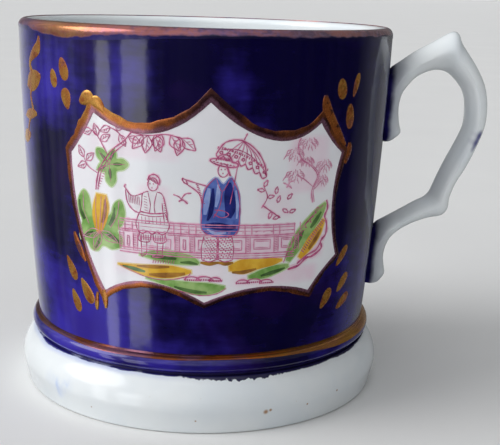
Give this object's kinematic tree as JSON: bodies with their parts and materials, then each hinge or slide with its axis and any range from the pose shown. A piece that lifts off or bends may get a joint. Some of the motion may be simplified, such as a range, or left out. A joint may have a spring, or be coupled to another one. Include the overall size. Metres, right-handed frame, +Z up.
{
  "type": "moustache cup",
  "caption": "Straight-sided moustache cup on a spreading foot, with a strap handle, a slotted guard inside the lip, a cobalt ground, printed panels and copper lustre.",
  "frame": {"origin": "centre of the foot's ring, on the plane that the cup stands on", "axes": "+Z up along the cup's axis, +X towards the handle, -Y towards the drinker and the guard"},
  "size_m": [0.1087, 0.0848, 0.083],
  "materials": {
    "white_glaze": "gloss",
    "slip": "satin",
    "cobalt_glaze": "gloss",
    "copper_lustre": "polished",
    "print_panel": "gloss"
  },
  "bodies": {
    "root": {"body": "white_glaze", "foot": "white_glaze", "bead_moulding": "cobalt_glaze", "handle": "white_glaze", "moustache_guard": "white_glaze", "foot_slip": "slip", "upper_handle_slip": "slip", "lower_handle_slip": "slip", "guard_slip": "slip", "cobalt_ground": "cobalt_glaze", "rim_lustre": "copper_lustre", "bead_lustre": "copper_lustre", "front_print_panel": "print_panel", "back_print_panel": "print_panel", "front_panel_border": "copper_lustre", "back_panel_border": "copper_lustre", "front_left_petals": "copper_lustre", "front_right_petals": "copper_lustre", "back_left_petals": "copper_lustre", "back_right_petals": "copper_lustre", "side_sprig": "copper_lustre"}
  },
  "joints": []
}
